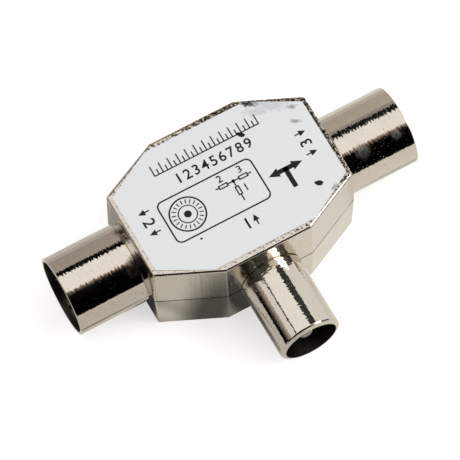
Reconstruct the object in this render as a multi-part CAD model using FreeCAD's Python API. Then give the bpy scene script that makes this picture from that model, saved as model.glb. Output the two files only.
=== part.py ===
# Coaxial splitter: an eight-sided die-cast body with one narrow plug port and two wide socket ports.
# Millimetres. The origin is on the underside, below the middle of the body.
# +X runs along the two socket ports, the plug port points to -Y, and +Z is up through the label.
import FreeCAD, Part
import math
import os
from FreeCAD import Vector

# Body outline, measured round its top and bottom faces
BODY_HALF_LENGTH = 16.1
BODY_HALF_WIDTH = 11.4
END_FLAT_HALF = 7.05
SIDE_FLAT_HALF = 6.85
BODY_HEIGHT = 17.0
DRAFT_GROWTH = 0.25
EDGE_ROUND = 0.4
SEAM_BEVEL = 0.12

# Inside of the body
WALL = 1.5
FLOOR = 1.6
CAVITY_ROUND = 0.8
BOSS_RADIUS = 1.8
BOSS_INSET = 0.9
PEG_RADIUS = 0.9
PEG_HEIGHT = 2.0
PEG_CLEARANCE = 0.03
SOCKET_EXTRA_DEPTH = 0.3

# Label, set in from the edges of the top face
LABEL_END_MARGIN = 0.7
LABEL_SIDE_MARGIN = 0.95
LABEL_END_FLAT_TRIM = 0.65
LABEL_SIDE_FLAT_EXTRA = 1.25
LABEL_CORNER_ROUND = 0.4
LABEL_THICKNESS = 0.1

# The connector standard: outside of a plug's sleeve and of its centre pin
PLUG_RADIUS = 4.7625
PIN_RADIUS = 1.2

# Wide sleeves of the two socket ports
OUT_WALL = 0.5
OUT_REACH = 11.25
OUT_NECK_DEPTH = 0.35
OUT_NECK_SHOW = 0.35
OUT_COLLAR_LENGTH = 1.0
OUT_NECK_WALL = 1.1
OUT_SHOULDER_LENGTH = 0.9
OUT_RIM_BEVEL = 0.15

# Narrow sleeve of the plug port
IN_WALL = 0.76
IN_REACH = 11.75
IN_NECK_DEPTH = 0.3
IN_NECK_SHOW = 0.05
IN_COLLAR_RISE = 0.5
IN_COLLAR_LENGTH = 0.9
IN_RIM_BEVEL_LENGTH = 0.45
IN_RIM_BEVEL_DEPTH = 0.58
IN_RIM_INNER_BEVEL = 0.08

COLLAR_POCKET_CLEARANCE = 0.08

# Spring ring inside each wide sleeve
RING_THICKNESS = 0.3
RING_BAND_LENGTH = 1.8
RING_CLEARANCE = 0.0175
RING_SPRING_ROOM = 0.47
RING_GRIP_SETBACK = 2.4
RING_LIP_SETBACK = 0.9
RING_LIP_FLARE = 0.37
RING_FINGERS = 6
RING_SLOT_WIDTH = 0.8

# Insulators
INSULATOR_BOSS_RADIUS = 2.6
INSULATOR_BOSS_LENGTH = 1.0
IN_INSULATOR_LENGTH = 4.0

# Centre contacts
PIN_SETBACK = 1.05
PIN_NOSE_LENGTH = 0.5
PIN_NOSE_TAPER = 0.3
PIN_SHOULDER_RADIUS = 1.7
PIN_SHOULDER_LENGTH = 0.8
RECEPTACLE_CLEARANCE = 0.02
RECEPTACLE_WALL = 0.53
RECEPTACLE_SETBACK = 1.4
RECEPTACLE_FLOOR = 1.2
RECEPTACLE_LEAD_IN = 0.2
RECEPTACLE_SLOTS = 4
RECEPTACLE_SLOT_WIDTH = 0.3
RECEPTACLE_SLOT_MARGIN = 0.9
STEM_RADIUS = 0.9
TAIL_RADIUS = 0.5

# Resistor star that joins the three centre contacts
RESISTOR_LENGTH = 3.4
RESISTOR_END_RADIUS = 0.95
RESISTOR_END_LENGTH = 0.8
RESISTOR_WAIST_RADIUS = 0.8
LEAD_RADIUS = 0.25
LEAD_LENGTH = 1.3
STAR_GAP = 0.3
STAR_JOINT_RADIUS = 0.75
STAR_JOINT_HEIGHT = 0.9
TAIL_JOINT_RADIUS = 0.7
TAIL_JOINT_REACH = 0.6

# The most of a wall that a bevel may take from each edge of its rim
LARGEST_RIM_SHARE = 0.3

# Places that follow from the sizes above
AXIS_HEIGHT = BODY_HEIGHT / 2
CAVITY_HALF_LENGTH = BODY_HALF_LENGTH - WALL
CAVITY_HALF_WIDTH = BODY_HALF_WIDTH - WALL
OUT_BORE = PLUG_RADIUS + RING_CLEARANCE + RING_THICKNESS + RING_SPRING_ROOM
OUT_RADIUS = OUT_BORE + OUT_WALL
OUT_NECK_RADIUS = OUT_RADIUS - OUT_NECK_DEPTH
OUT_INNER_BORE = OUT_NECK_RADIUS - OUT_NECK_WALL
OUT_SHOULDER = BODY_HALF_LENGTH + DRAFT_GROWTH + OUT_NECK_SHOW
OUT_STEP = OUT_SHOULDER + OUT_SHOULDER_LENGTH
OUT_MOUTH = BODY_HALF_LENGTH + DRAFT_GROWTH + OUT_REACH
OUT_INNER_END = CAVITY_HALF_LENGTH - OUT_COLLAR_LENGTH
IN_NECK_RADIUS = PLUG_RADIUS - IN_NECK_DEPTH
IN_COLLAR_RADIUS = PLUG_RADIUS + IN_COLLAR_RISE
IN_SHOULDER = BODY_HALF_WIDTH + DRAFT_GROWTH + IN_NECK_SHOW
IN_MOUTH = BODY_HALF_WIDTH + DRAFT_GROWTH + IN_REACH
IN_INNER_END = CAVITY_HALF_WIDTH - IN_COLLAR_LENGTH
IN_BORE = PLUG_RADIUS - IN_WALL
IN_INSULATOR_FRONT = IN_INNER_END + IN_INSULATOR_LENGTH
RECEPTACLE_BORE = PIN_RADIUS + RECEPTACLE_CLEARANCE
RECEPTACLE_RADIUS = RECEPTACLE_BORE + RECEPTACLE_WALL
TAIL_END = STAR_GAP + LEAD_LENGTH + RESISTOR_LENGTH + LEAD_LENGTH
BODY_SIZES = (BODY_HALF_LENGTH, BODY_HALF_WIDTH, END_FLAT_HALF, SIDE_FLAT_HALF)

# A port's own parts are made along +X from the middle of the body and then turned to face its way
PORT_TURN = {"right_out": 0, "left_out": 180, "in": -90}
FULL_TURN = 360
X_AXIS = Vector(1, 0, 0)
Z_AXIS = Vector(0, 0, 1)
CENTRE = Vector(0, 0, 0)


def octagon_corners(half_length, half_width, end_flat, side_flat, growth=0.0):
    """Corners of the eight-sided outline, anticlockwise, with every side moved outwards by growth."""
    normal = Vector(half_width - end_flat, half_length - side_flat, 0).normalize()
    reach = normal.x * half_length + normal.y * end_flat + growth
    end_x = half_length + growth
    side_y = half_width + growth
    end_y = (reach - normal.x * end_x) / normal.y
    side_x = (reach - normal.y * side_y) / normal.x
    quarter = [(end_x, end_y), (side_x, side_y)]
    mirrored = [(-x, y) for x, y in reversed(quarter)]
    back = quarter + mirrored
    front = [(x, -y) for x, y in reversed(back)]
    return [Vector(x, y, 0) for x, y in back + front]


def rounded_outline(corners, radius, height):
    """Closed wire through the corners at one height, each corner turned by an arc."""
    edges = []
    starts, ends, middles = [], [], []
    for i, corner in enumerate(corners):
        to_last = (corners[i - 1] - corner).normalize()
        to_next = (corners[(i + 1) % len(corners)] - corner).normalize()
        half_angle = to_last.getAngle(to_next) / 2
        bisector = (to_last + to_next).normalize()
        cut_back = radius / math.tan(half_angle)
        to_middle = radius / math.sin(half_angle) - radius
        starts.append(corner + to_last * cut_back)
        ends.append(corner + to_next * cut_back)
        middles.append(corner + bisector * to_middle)
    for i in range(len(corners)):
        edges.append(Part.Arc(starts[i], middles[i], ends[i]).toShape())
        edges.append(Part.LineSegment(ends[i], starts[(i + 1) % len(corners)]).toShape())
    wire = Part.Wire(edges)
    wire.translate(Z_AXIS * height)
    return wire


def sharp_outline(growth, height):
    """The body's outline at one height with sharp corners, grown from the top face's own."""
    corners = [corner + Z_AXIS * height for corner in octagon_corners(*BODY_SIZES, growth)]
    return Part.makePolygon(corners + corners[:1])


def turned(profile, angle=FULL_TURN):
    """Solid of revolution about X from a closed list of (distance along X, radius) points."""
    points = [Vector(along, 0, radius) for along, radius in profile]
    face = Part.Face(Part.makePolygon(points + points[:1]))
    return face.revolve(CENTRE, X_AXIS, angle)


def rod(start, end, radius):
    """Cylinder along X between two distances."""
    return Part.makeCylinder(radius, end - start, Vector(start, 0, 0), X_AXIS)


def slots(count, width, start, end, radius):
    """Radial cutting blades spread evenly about X, each reaching out from the axis."""
    blades = []
    for i in range(count):
        blade = Part.makeBox(end - start, width, radius, Vector(start, -width / 2, 0))
        blade.rotate(CENTRE, X_AXIS, i * FULL_TURN / count)
        blades.append(blade)
    return blades


def at_port(shape, port):
    """A port's part, moved from the X axis to where that port is on the body."""
    placed = shape.copy()
    placed.rotate(CENTRE, Z_AXIS, PORT_TURN[port])
    placed.translate(Z_AXIS * AXIS_HEIGHT)
    return placed


def boss_places():
    """Middles of the four peg bosses, each against the inside of a slanting wall."""
    corners = octagon_corners(*BODY_SIZES, -(WALL + BOSS_INSET))
    return [(corners[i] + corners[i + 1]) * 0.5 for i in (0, 2, 4, 6)]


def half_shell():
    """One die-cast half with its face on z = 0 and its open side up, before its pegs or sockets."""
    block = Part.makeLoft([sharp_outline(0, 0), sharp_outline(DRAFT_GROWTH, AXIS_HEIGHT)], True, True)
    outer_edges = [e for e in block.Edges if e.BoundBox.ZMin < AXIS_HEIGHT / 2]
    block = block.makeFillet(EDGE_ROUND, outer_edges)
    seam_edges = [e for e in block.Edges if e.BoundBox.ZMin > AXIS_HEIGHT - SEAM_BEVEL]
    block = block.makeChamfer(SEAM_BEVEL, seam_edges)
    opening = Part.Face(rounded_outline(octagon_corners(*BODY_SIZES, -WALL), CAVITY_ROUND, FLOOR))
    shell = block.cut(opening.extrude(Z_AXIS * AXIS_HEIGHT))
    for place in boss_places():
        boss = Part.makeCylinder(BOSS_RADIUS, AXIS_HEIGHT - FLOOR / 2, place + Z_AXIS * (FLOOR / 2))
        shell = shell.fuse(boss)
    for cutter in port_cutters():
        shell = shell.cut(cutter)
    return shell.removeSplitter()


def port_cutters():
    """Round cuts that seat the three sleeves: a hole through the wall and a pocket for the collar."""
    gap = COLLAR_POCKET_CLEARANCE
    cutters = []
    for port in ("left_out", "right_out"):
        cutters.append(at_port(rod(CAVITY_HALF_LENGTH, OUT_STEP, OUT_NECK_RADIUS), port))
        cutters.append(at_port(rod(OUT_INNER_END - gap, CAVITY_HALF_LENGTH, OUT_RADIUS + gap), port))
    cutters.append(at_port(rod(CAVITY_HALF_WIDTH, IN_MOUTH, IN_NECK_RADIUS), "in"))
    cutters.append(at_port(rod(IN_INNER_END - gap, CAVITY_HALF_WIDTH, IN_COLLAR_RADIUS + gap), "in"))
    return cutters


def lower_shell():
    """Bottom half of the body, with four pegs standing up from its bosses."""
    shell = half_shell()
    for place in boss_places():
        peg = Part.makeCylinder(PEG_RADIUS, PEG_HEIGHT + FLOOR, place + Z_AXIS * (AXIS_HEIGHT - FLOOR))
        shell = shell.fuse(peg)
    return shell.removeSplitter()


def upper_shell():
    """Top half of the body, turned over on to the lower half, with sockets for the pegs."""
    shell = half_shell()
    depth = PEG_HEIGHT + SOCKET_EXTRA_DEPTH
    for place in boss_places():
        socket = Part.makeCylinder(PEG_RADIUS + PEG_CLEARANCE, depth, place + Z_AXIS * (AXIS_HEIGHT - depth))
        shell = shell.cut(socket)
    return shell.mirror(Z_AXIS * AXIS_HEIGHT, Z_AXIS)


def label():
    """Printed foil label, a thin eight-sided sheet on the top face."""
    corners = octagon_corners(
        BODY_HALF_LENGTH - LABEL_END_MARGIN,
        BODY_HALF_WIDTH - LABEL_SIDE_MARGIN,
        END_FLAT_HALF - LABEL_END_FLAT_TRIM,
        SIDE_FLAT_HALF + LABEL_SIDE_FLAT_EXTRA,
    )
    outline = rounded_outline(corners, LABEL_CORNER_ROUND, BODY_HEIGHT)
    return Part.Face(outline).extrude(Z_AXIS * LABEL_THICKNESS)


def out_sleeve():
    """Wide thin sleeve: a collar inside the body, a neck in the wall, a step and an open mouth."""
    bevel = min(OUT_RIM_BEVEL, OUT_WALL * LARGEST_RIM_SHARE)
    return turned([
        (OUT_INNER_END, OUT_INNER_BORE),
        (OUT_INNER_END, OUT_RADIUS),
        (CAVITY_HALF_LENGTH, OUT_RADIUS),
        (CAVITY_HALF_LENGTH, OUT_NECK_RADIUS),
        (OUT_SHOULDER, OUT_NECK_RADIUS),
        (OUT_SHOULDER, OUT_RADIUS),
        (OUT_MOUTH - bevel, OUT_RADIUS),
        (OUT_MOUTH, OUT_RADIUS - bevel),
        (OUT_MOUTH, OUT_BORE + bevel),
        (OUT_MOUTH - bevel, OUT_BORE),
        (OUT_STEP, OUT_BORE),
        (OUT_STEP, OUT_INNER_BORE),
    ])


def in_sleeve():
    """Narrow sleeve that a socket takes in, with a bevelled rim."""
    return turned([
        (IN_INNER_END, IN_BORE),
        (IN_INNER_END, IN_COLLAR_RADIUS),
        (CAVITY_HALF_WIDTH, IN_COLLAR_RADIUS),
        (CAVITY_HALF_WIDTH, IN_NECK_RADIUS),
        (IN_SHOULDER, IN_NECK_RADIUS),
        (IN_SHOULDER, PLUG_RADIUS),
        (IN_MOUTH - IN_RIM_BEVEL_LENGTH, PLUG_RADIUS),
        (IN_MOUTH, PLUG_RADIUS - IN_RIM_BEVEL_DEPTH),
        (IN_MOUTH, IN_BORE + IN_RIM_INNER_BEVEL),
        (IN_MOUTH - IN_RIM_INNER_BEVEL, IN_BORE),
    ])


def spring_ring():
    """Rolled spring ring: a band pressed into the sleeve, and fingers that bend in and flare at the lip."""
    band_end = OUT_STEP + RING_BAND_LENGTH
    band_bore = OUT_BORE - RING_THICKNESS
    ring = turned([
        (OUT_STEP, band_bore),
        (OUT_STEP, OUT_BORE),
        (band_end, OUT_BORE),
        (band_end, band_bore),
    ])
    grip_radius = PLUG_RADIUS + RING_CLEARANCE
    inner = [
        (band_end, band_bore),
        (OUT_MOUTH - RING_GRIP_SETBACK, grip_radius),
        (OUT_MOUTH - RING_LIP_SETBACK, grip_radius + RING_LIP_FLARE),
    ]
    outer = [(along, radius + RING_THICKNESS) for along, radius in reversed(inner)]
    pitch = FULL_TURN / RING_FINGERS
    slot_angle = math.degrees(RING_SLOT_WIDTH / OUT_BORE)
    for i in range(RING_FINGERS):
        finger = turned(inner + outer, pitch - slot_angle)
        finger.rotate(CENTRE, X_AXIS, i * pitch + slot_angle / 2)
        ring = ring.fuse(finger)
    return ring.removeSplitter()


def out_insulator():
    """Moulded disc that closes a wide sleeve and holds its receptacle, with a boss round it."""
    return turned([
        (OUT_INNER_END, STEM_RADIUS),
        (OUT_INNER_END, OUT_INNER_BORE),
        (OUT_STEP, OUT_INNER_BORE),
        (OUT_STEP, INSULATOR_BOSS_RADIUS),
        (OUT_STEP + INSULATOR_BOSS_LENGTH, INSULATOR_BOSS_RADIUS),
        (OUT_STEP + INSULATOR_BOSS_LENGTH, STEM_RADIUS),
    ])


def in_insulator():
    """Moulded plug that fills the narrow sleeve's inner end and holds its pin."""
    return turned([
        (IN_INNER_END, STEM_RADIUS),
        (IN_INNER_END, IN_BORE),
        (IN_INSULATOR_FRONT, IN_BORE),
        (IN_INSULATOR_FRONT, STEM_RADIUS),
    ])


def receptacle():
    """Slotted tube that takes a centre pin, on a stem through the insulator, with a solder tail."""
    base = OUT_STEP + INSULATOR_BOSS_LENGTH
    mouth = OUT_MOUTH - RECEPTACLE_SETBACK
    tube = turned([
        (TAIL_END, 0),
        (TAIL_END, TAIL_RADIUS),
        (OUT_INNER_END, TAIL_RADIUS),
        (OUT_INNER_END, STEM_RADIUS),
        (base, STEM_RADIUS),
        (base, RECEPTACLE_RADIUS),
        (mouth, RECEPTACLE_RADIUS),
        (mouth, RECEPTACLE_BORE + RECEPTACLE_LEAD_IN),
        (mouth - RECEPTACLE_LEAD_IN, RECEPTACLE_BORE),
        (base + RECEPTACLE_FLOOR, RECEPTACLE_BORE),
        (base + RECEPTACLE_FLOOR, 0),
    ])
    start = base + RECEPTACLE_FLOOR + RECEPTACLE_SLOT_MARGIN
    return tube.cut(slots(RECEPTACLE_SLOTS, RECEPTACLE_SLOT_WIDTH, start, mouth, RECEPTACLE_RADIUS))


def centre_pin():
    """Blunt-nosed pin of the narrow port, on a stem through the insulator, with a solder tail."""
    tip = IN_MOUTH - PIN_SETBACK
    return turned([
        (TAIL_END, 0),
        (TAIL_END, TAIL_RADIUS),
        (IN_INNER_END, TAIL_RADIUS),
        (IN_INNER_END, STEM_RADIUS),
        (IN_INSULATOR_FRONT, STEM_RADIUS),
        (IN_INSULATOR_FRONT, PIN_SHOULDER_RADIUS),
        (IN_INSULATOR_FRONT + PIN_SHOULDER_LENGTH, PIN_SHOULDER_RADIUS),
        (IN_INSULATOR_FRONT + PIN_SHOULDER_LENGTH, PIN_RADIUS),
        (tip - PIN_NOSE_LENGTH, PIN_RADIUS),
        (tip, PIN_RADIUS - PIN_NOSE_TAPER),
        (tip, 0),
    ])


def resistor():
    """Dog-bone resistor body between its two wires."""
    start = STAR_GAP + LEAD_LENGTH
    end = start + RESISTOR_LENGTH
    return turned([
        (start, 0),
        (start, RESISTOR_END_RADIUS),
        (start + RESISTOR_END_LENGTH, RESISTOR_END_RADIUS),
        (start + RESISTOR_END_LENGTH, RESISTOR_WAIST_RADIUS),
        (end - RESISTOR_END_LENGTH, RESISTOR_WAIST_RADIUS),
        (end - RESISTOR_END_LENGTH, RESISTOR_END_RADIUS),
        (end, RESISTOR_END_RADIUS),
        (end, 0),
    ])


def resistor_leads():
    """The resistor's two wires: one to the star joint and one to the contact's tail."""
    inner = rod(STAR_GAP, STAR_GAP + LEAD_LENGTH, LEAD_RADIUS)
    outer = rod(TAIL_END - LEAD_LENGTH, TAIL_END, LEAD_RADIUS)
    return Part.makeCompound([inner, outer])


def tail_joint():
    """Bead of solder round the end of a contact's tail and the wire that meets it."""
    return turned([
        (TAIL_END - TAIL_JOINT_REACH, LEAD_RADIUS),
        (TAIL_END, TAIL_JOINT_RADIUS),
        (TAIL_END + TAIL_JOINT_REACH, TAIL_RADIUS),
        (TAIL_END, TAIL_RADIUS),
        (TAIL_END, LEAD_RADIUS),
    ])


def star_joint():
    """Drop of solder in the middle of the body, where the three wires meet."""
    foot = Z_AXIS * (AXIS_HEIGHT - STAR_JOINT_HEIGHT / 2)
    drop = Part.makeCylinder(STAR_JOINT_RADIUS, STAR_JOINT_HEIGHT, foot)
    wires = [at_port(rod(STAR_GAP, STAR_JOINT_RADIUS, LEAD_RADIUS), port) for port in PORT_TURN]
    return drop.cut(wires)


def all_parts():
    """Every sub-part by name, in its place."""
    parts = {"lower_shell": lower_shell(), "upper_shell": upper_shell(), "label": label()}
    for port in ("left_out", "right_out"):
        parts[port + "_sleeve"] = at_port(out_sleeve(), port)
        parts[port + "_spring_ring"] = at_port(spring_ring(), port)
        parts[port + "_insulator"] = at_port(out_insulator(), port)
        parts[port + "_receptacle"] = at_port(receptacle(), port)
    parts["in_sleeve"] = at_port(in_sleeve(), "in")
    parts["in_insulator"] = at_port(in_insulator(), "in")
    parts["in_pin"] = at_port(centre_pin(), "in")
    for port in PORT_TURN:
        parts[port + "_resistor"] = at_port(resistor(), port)
        parts[port + "_resistor_leads"] = at_port(resistor_leads(), port)
        parts[port + "_solder_joint"] = at_port(tail_joint(), port)
    parts["star_solder_joint"] = star_joint()
    return parts


os.makedirs("parts", exist_ok=True)
for name, shape in all_parts().items():
    shape.exportStep("parts/" + name + ".step")
    print(name, "solids", len(shape.Solids), "volume", round(shape.Volume, 3), "valid", shape.isValid())
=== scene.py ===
# %% [markdown]
# A coaxial splitter, built for a picture. On the real object a flat eight-sided metal body carries
# one narrow plug port at the front and two wide socket ports at the ends, and a white label is stuck
# on top. Everything bright is nickel plate, so most of what the eye sees is the studio mirrored in
# metal. The order here is: the fixed frame, a few helpers, the camera, the studio, the finishes, the
# turned parts, the print on the label, and at the end the finishes of the pieces that stay as they
# are. Sizes are millimetres, turned to metres by one factor.

# %% Load the frame
import math

import bpy
from mathutils import Matrix, Vector


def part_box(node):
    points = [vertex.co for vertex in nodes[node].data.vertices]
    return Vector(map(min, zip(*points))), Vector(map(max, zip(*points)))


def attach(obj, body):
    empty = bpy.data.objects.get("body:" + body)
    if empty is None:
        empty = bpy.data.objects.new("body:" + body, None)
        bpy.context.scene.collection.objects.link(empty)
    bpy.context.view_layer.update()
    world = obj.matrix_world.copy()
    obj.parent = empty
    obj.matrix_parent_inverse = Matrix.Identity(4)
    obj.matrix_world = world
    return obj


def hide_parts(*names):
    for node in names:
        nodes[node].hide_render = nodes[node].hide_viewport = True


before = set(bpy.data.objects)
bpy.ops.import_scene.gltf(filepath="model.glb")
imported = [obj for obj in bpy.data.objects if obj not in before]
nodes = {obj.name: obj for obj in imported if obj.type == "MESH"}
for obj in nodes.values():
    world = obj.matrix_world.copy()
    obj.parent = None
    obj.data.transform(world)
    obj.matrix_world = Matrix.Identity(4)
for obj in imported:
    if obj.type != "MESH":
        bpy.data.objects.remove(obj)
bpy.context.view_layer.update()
MM = 0.001
print("nodes in the frame:", len(nodes))

# %% [markdown]
# The frame already knows most sizes. A node's box gives how far a sleeve reaches, where it starts
# inside the body and how thick it is, so those values are read and not typed in. They are turned to
# millimetres here, because every cell below thinks in millimetres.

# %% Sizes that the frame gives


def box_mm(node):
    """Lowest and highest corner of a node, in millimetres."""
    low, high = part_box(node)
    return low / MM, high / MM


out_low, out_high = box_mm("right_out_sleeve")
in_low, in_high = box_mm("in_sleeve")
pin_low, pin_high = box_mm("in_pin")
AXIS_HEIGHT = (out_low.z + out_high.z) / 2
OUT_RADIUS = (out_high.z - out_low.z) / 2
OUT_START, OUT_MOUTH = out_low.x, out_high.x
IN_COLLAR_RADIUS = (in_high.z - in_low.z) / 2
IN_START, IN_MOUTH = -in_high.y, -in_low.y
PIN_START, PIN_END = -pin_high.y, -pin_low.y
LABEL_TOP = box_mm("label")[1].z
print("socket sleeve", round(OUT_START, 2), "to", round(OUT_MOUTH, 2), "radius", round(OUT_RADIUS, 2))
print("plug sleeve", round(IN_START, 2), "to", round(IN_MOUTH, 2), "axis height", round(AXIS_HEIGHT, 2))

# %% [markdown]
# Three helpers serve every cell below. Colours are written as the hex values that an artist picks on
# screen, so one function turns them into the linear values that the renderer works in. The second
# adds a shader node, sets its inputs and links it, which keeps each finish readable. The third makes
# an empty material for such nodes. The settings that come back most often have names of their own.

# %% Helpers for colour and shader nodes
WHITE = "#FFFFFF"
ADD = {"operation": "ADD"}
SUBTRACT = {"operation": "SUBTRACT"}
MULTIPLY = {"operation": "MULTIPLY"}
MULTIPLY_ADD = {"operation": "MULTIPLY_ADD"}
MAXIMUM = {"operation": "MAXIMUM"}
LENGTH = {"operation": "LENGTH"}
DISTANCE = {"operation": "DISTANCE"}
SMOOTH = {"interpolation_type": "SMOOTHSTEP"}
TO_LOCAL = {"vector_type": "TEXTURE"}
# A Mix node that mixes colours has its factor at input 0, the colours at 6 and 7, the result at output 2
COLOURS = {"data_type": "RGBA"}
MIXED = 2


def linear(hex_colour):
    """Linear RGBA from an sRGB hex value."""
    channels = [int(hex_colour[i:i + 2], 16) / 255 for i in (1, 3, 5)]
    made = [c / 12.92 if c <= 0.04045 else ((c + 0.055) / 1.055) ** 2.4 for c in channels]
    return (*made, 1.0)


def add_node(tree, kind, settings=None, **inputs):
    """Add a node of a kind, such as MapRange. Settings are its properties. Inputs go by name or _number.

    An input is a value, a socket, or a node whose first output is meant.
    """
    node = tree.nodes.new("ShaderNode" + kind)
    for name, value in (settings or {}).items():
        setattr(node, name, value)
    for name, value in inputs.items():
        numbered = name[1:].isdigit()
        socket = node.inputs[int(name[1:])] if numbered else node.inputs[name.replace("_", " ")]
        if isinstance(value, bpy.types.Node):
            value = value.outputs[0]
        if isinstance(value, bpy.types.NodeSocket):
            tree.links.new(value, socket)
        else:
            socket.default_value = value
    return node


def new_material(name):
    """An empty material and its shader tree."""
    material = bpy.data.materials.new(name)
    material.use_nodes = True
    material.node_tree.nodes.clear()
    return material, material.node_tree


print("helpers ready")

# %% [markdown]
# The camera stands high in front and to the left of the splitter, half a metre away, with a long
# lens, and is rolled a little. The aim point is where the middle of the picture meets the plane of
# the port axes. The lens is worked out from the picture's width in pixels and the focal length in
# pixels, which is how a camera solved from a photograph states it.

# %% Camera
CAMERA_AZIMUTH = math.radians(-25.679)
CAMERA_ELEVATION = math.radians(65.850)
CAMERA_ROLL = math.radians(-3.598)
CAMERA_DISTANCE = 485.13
CAMERA_AIM = Vector((-1.66, -2.69, 8.5))
FOCAL_PIXELS = 3380.9
PICTURE_PIXELS = 460
SENSOR_WIDTH = 36.0
NEAREST_SEEN, FARTHEST_SEEN = 10, 10000

bpy.ops.object.select_all(action="DESELECT")
bpy.ops.object.camera_add()
camera = bpy.context.active_object
camera.name = "camera"
camera.data.sensor_width = SENSOR_WIDTH
camera.data.lens = SENSOR_WIDTH * FOCAL_PIXELS / PICTURE_PIXELS
camera.data.clip_start = NEAREST_SEEN * MM
camera.data.clip_end = FARTHEST_SEEN * MM
away = Vector((
    math.sin(CAMERA_AZIMUTH) * math.cos(CAMERA_ELEVATION),
    -math.cos(CAMERA_AZIMUTH) * math.cos(CAMERA_ELEVATION),
    math.sin(CAMERA_ELEVATION),
))
level = Vector((math.cos(CAMERA_AZIMUTH), math.sin(CAMERA_AZIMUTH), 0))
stand = Matrix((level, away.cross(level), away)).transposed() @ Matrix.Rotation(CAMERA_ROLL, 3, "Z")
camera.matrix_world = Matrix.LocRotScale((CAMERA_AIM + away * CAMERA_DISTANCE) * MM, stand, None)
bpy.context.scene.camera = camera
print("lens", round(camera.data.lens, 1), "mm")

# %% [markdown]
# Polished metal shows its surroundings, so the studio is built from what the metal has to mirror. A
# plain pale floor runs to the horizon under a white sky. The sky is full white to the camera and to
# reflections, and weaker as a light, so that pale surfaces keep their colour. The floor gets a small
# lift in the same way: it looks white and still keeps the splitter's shadow.

# %% World and floor
bpy.context.scene.view_settings.view_transform = "Standard"
SKY_SEEN = 1.0
SKY_FILL = 0.40
FLOOR_PAPER = "#F4F3F1"
FLOOR_LIFT = 0.43
FLOOR_SIZE = 4000


def seen_directly(tree):
    """Value 1 for rays from the camera, a mirror or glass, and 0 for rays that only carry light."""
    kinds = add_node(tree, "LightPath").outputs
    mirrored = add_node(tree, "Math", MAXIMUM, _0=kinds["Is Camera Ray"], _1=kinds["Is Glossy Ray"])
    return add_node(tree, "Math", MAXIMUM, _0=mirrored, _1=kinds["Is Transmission Ray"])


world = bpy.data.worlds.new("studio")
bpy.context.scene.world = world
world.use_nodes = True
tree = world.node_tree
tree.nodes.clear()
strength = add_node(tree, "MapRange", Value=seen_directly(tree), To_Min=SKY_FILL, To_Max=SKY_SEEN)
sky = add_node(tree, "Background", Color=linear(WHITE), Strength=strength)
add_node(tree, "OutputWorld", Surface=sky)

bpy.ops.object.select_all(action="DESELECT")
bpy.ops.mesh.primitive_plane_add(size=FLOOR_SIZE * MM)
floor = bpy.context.active_object
floor.name = "floor"
# Matt paper scatters light evenly, so the floor has no gloss and only the shadow marks it
material, tree = new_material("matt_white_paper_floor")
lift = add_node(tree, "Math", MULTIPLY, _0=seen_directly(tree), _1=FLOOR_LIFT)
paper = add_node(tree, "BsdfDiffuse", Color=linear(FLOOR_PAPER))
glow = add_node(tree, "Emission", Color=linear(WHITE), Strength=lift)
both = add_node(tree, "AddShader", _0=paper, _1=glow)
add_node(tree, "OutputMaterial", Surface=both)
floor.data.materials.append(material)
print("floor and world ready")

# %% [markdown]
# A wide softbox overhead gives the bright bands along the tubes. A small, much brighter key lamp at
# the right front gives the shadow its direction and the hot highlight at the root of the plug. Dark
# and grey cards, which only reflections can see, give the dark bands that make polished metal look
# like metal. The alternative, a plain white room, would make it look like plaster. Each card is
# placed by the directions that it has to cover, seen from the splitter, and may fade from one shade
# to another, which leaves a soft edge in the metal.

# %% Helpers for lamps and cards


def add_lamp(name, place, length, width, radiance):
    """Rectangular lamp that looks down. Area A and radiance L take pi L A watts."""
    bpy.ops.object.light_add(type="AREA", location=Vector(place) * MM)
    lamp = bpy.context.active_object
    lamp.name = name
    lamp.data.shape = "RECTANGLE"
    lamp.data.size = length * MM
    lamp.data.size_y = width * MM
    lamp.data.energy = math.pi * radiance * lamp.data.size * lamp.data.size_y
    return lamp


def plain_shade(tree, shade, far_shade):
    """Shade of a card, from its first edge to its far edge."""
    own_map = add_node(tree, "TexCoord").outputs["UV"]
    across = add_node(tree, "SeparateXYZ", Vector=own_map)
    return add_node(tree, "MapRange", SMOOTH, Value=across.outputs["Y"],
                    To_Min=shade, To_Max=far_shade)


def add_card(name, corners, shade, far_shade, colour, make_shade=plain_shade):
    """Flat card through four corners, seen only in reflections."""
    bpy.ops.object.select_all(action="DESELECT")
    bpy.ops.mesh.primitive_plane_add()
    card = bpy.context.active_object
    card.name = name
    for vertex, corner in zip(card.data.vertices, corners):
        vertex.co = Vector(corner) * MM
    material, tree = new_material(name)
    surface = add_node(tree, "Emission", Color=linear(colour),
                       Strength=make_shade(tree, shade, far_shade))
    add_node(tree, "OutputMaterial", Surface=surface)
    card.data.materials.append(material)
    card.visible_camera = False
    card.visible_diffuse = False
    card.visible_shadow = False
    card.visible_transmission = False


def level_card(z, *corners):
    """Corners of a card that lies level: two of its first edge, two of its far edge."""
    return [(x, y, z) for x, y in corners]


def card_across(y, left, right, first, far):
    """Corners of an upright card before or behind the splitter, from a first to a far height."""
    return [(left, y, first), (right, y, first), (left, y, far), (right, y, far)]


def card_beside(x, front, back, first, far):
    """Corners of an upright card beside the splitter, from a first to a far height."""
    return [(x, front, first), (x, back, first), (x, front, far), (x, back, far)]


print("helpers for the studio ready")

# %% Softbox and key lamp
SOFTBOX_PLACE = Vector((10, -54, 600))
SOFTBOX_LENGTH, SOFTBOX_WIDTH = 1000, 555
SOFTBOX_TURN = math.radians(-55.5)
SOFTBOX_RADIANCE = 1.19
KEY_PLACE = Vector((460, -260, 455))
KEY_AIM = Vector((0, 0, 8.5))
KEY_SIZE = 310
KEY_RADIANCE = 4.8

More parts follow.
